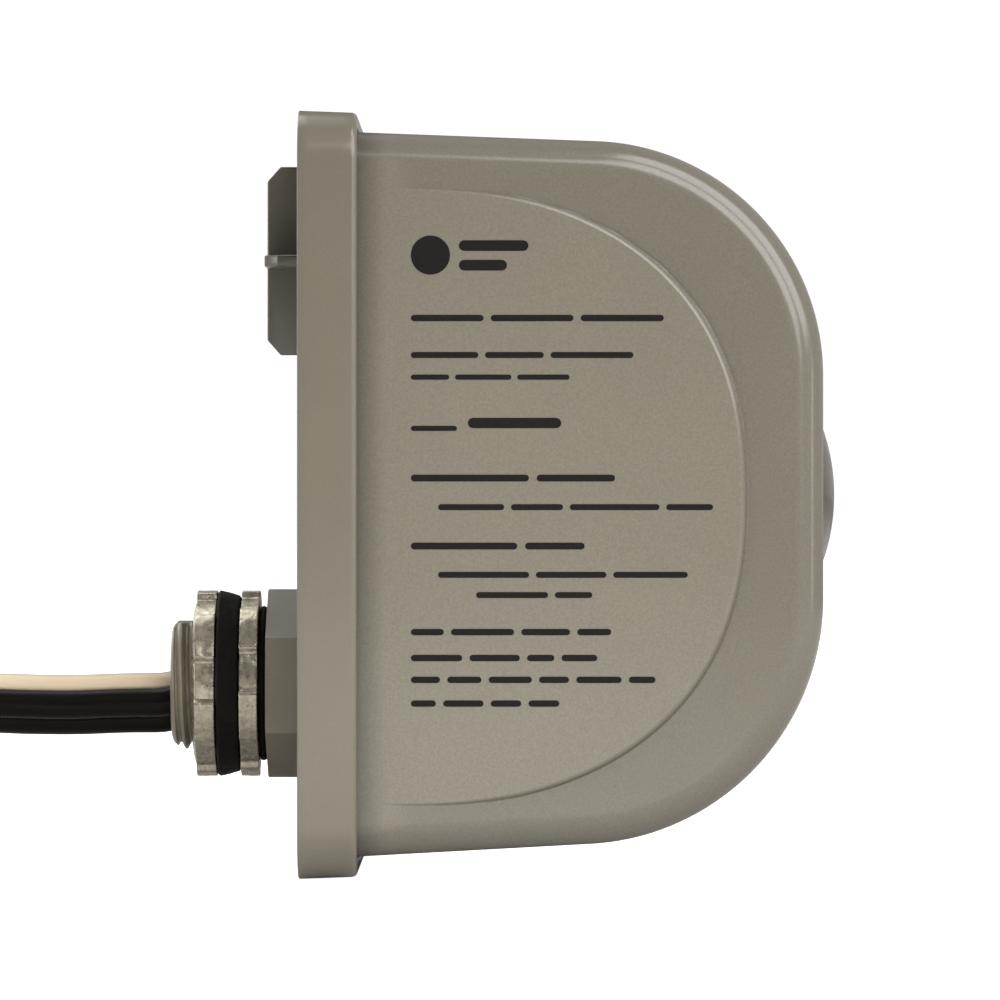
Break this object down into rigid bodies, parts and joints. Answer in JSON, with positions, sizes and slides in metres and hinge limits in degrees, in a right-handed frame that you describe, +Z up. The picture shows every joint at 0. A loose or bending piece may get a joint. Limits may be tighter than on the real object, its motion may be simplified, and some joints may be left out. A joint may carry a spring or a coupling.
{
  "type": "surge protective device",
  "caption": "Hard-wired surge protective device: D-shaped housing on a flanged base cover, domed indicator lens, threaded conduit nipple with locknuts and seals, and insulated leads.",
  "frame": {"origin": "middle of the base cover's flat back face", "axes": "+X from the back face to the rounded front with the lens, +Z up, the conduit nipple and the leads point along -X, Y across the width"},
  "size_m": [0.198, 0.082, 0.122],
  "materials": {
    "housing_grey": "satin fine-textured moulded plastic, warm grey",
    "nipple_grey": "satin moulded plastic, slightly darker warm grey",
    "lens_smoke": "smoke-grey translucent polycarbonate",
    "zinc": "die-cast zinc, satin with pits and scratches",
    "black_rubber": "matte black rubber",
    "gasket_black": "matte black sealing rubber",
    "black_pvc": "glossy black wire insulation",
    "white_pvc": "glossy warm white wire insulation",
    "copper": "bare stranded copper",
    "screw_steel": "plated steel",
    "board_green": "glass-epoxy board with solder mask",
    "disc_blue": "blue epoxy coating",
    "cutoff_case": "drawn metal case",
    "resistor_tan": "lacquered ceramic",
    "diode_black": "black epoxy",
    "led_green_epoxy": "tinted clear epoxy",
    "led_red_epoxy": "tinted clear epoxy",
    "tinned_brass": "tin-plated brass"
  },
  "bodies": {
    "housing": {"front_housing": "housing_grey", "base_cover": "housing_grey", "cover_gasket": "gasket_black", "cover_screw_1": "screw_steel", "cover_screw_2": "screw_steel", "cover_screw_3": "screw_steel", "cover_screw_4": "screw_steel", "indicator_lens": "lens_smoke", "lens_retainer": "screw_steel", "conduit_nipple": "nipple_grey", "nipple_backnut": "screw_steel", "lead_seal": "gasket_black", "neutral_lead": "white_pvc", "line_lead_1": "black_pvc", "line_lead_2": "black_pvc", "neutral_conductor": "copper", "line_conductor_1": "copper", "line_conductor_2": "copper", "circuit_board": "board_green", "board_screw_1": "screw_steel", "board_screw_2": "screw_steel", "varistor_1": "disc_blue", "varistor_2": "disc_blue", "varistor_3": "disc_blue", "varistor_4": "disc_blue", "thermal_cutoff_1": "cutoff_case", "thermal_cutoff_2": "cutoff_case", "resistor_1": "resistor_tan", "resistor_2": "resistor_tan", "diode_1": "diode_black", "diode_2": "diode_black", "led_green": "led_green_epoxy", "led_red": "led_red_epoxy", "terminal_tab_1": "tinned_brass", "terminal_tab_2": "tinned_brass", "terminal_tab_3": "tinned_brass"},
    "seal_ring": {"seal_ring": "black_rubber"},
    "inner_locknut": {"inner_locknut": "zinc"},
    "sealing_washer": {"sealing_washer": "black_rubber"},
    "outer_locknut": {"outer_locknut": "zinc"}
  },
  "joints": [
    {"name": "seal_ring_slide", "type": "slide", "parent": "housing", "child": "seal_ring", "axis": [-1, 0, 0], "range_m": [0, 0.00182]},
    {"name": "inner_locknut_spin", "type": "hinge", "parent": "seal_ring", "child": "inner_locknut", "pos_m": [-0.00884, 0, -0.0309], "axis": [-1, 0, 0], "range_deg": [0, 360]},
    {"name": "sealing_washer_slide", "type": "slide", "parent": "inner_locknut", "child": "sealing_washer", "axis": [-1, 0, 0], "range_m": [0, 0.00364]},
    {"name": "outer_locknut_spin", "type": "hinge", "parent": "sealing_washer", "child": "outer_locknut", "pos_m": [-0.01595, 0, -0.0309], "axis": [-1, 0, 0], "range_deg": [0, 720]}
  ],
  "couplings": [
    {"joint": "seal_ring_slide", "follows": "inner_locknut_spin", "m_per_rad": 0.00028871},
    {"joint": "sealing_washer_slide", "follows": "outer_locknut_spin", "m_per_rad": 0.00028871}
  ]
}
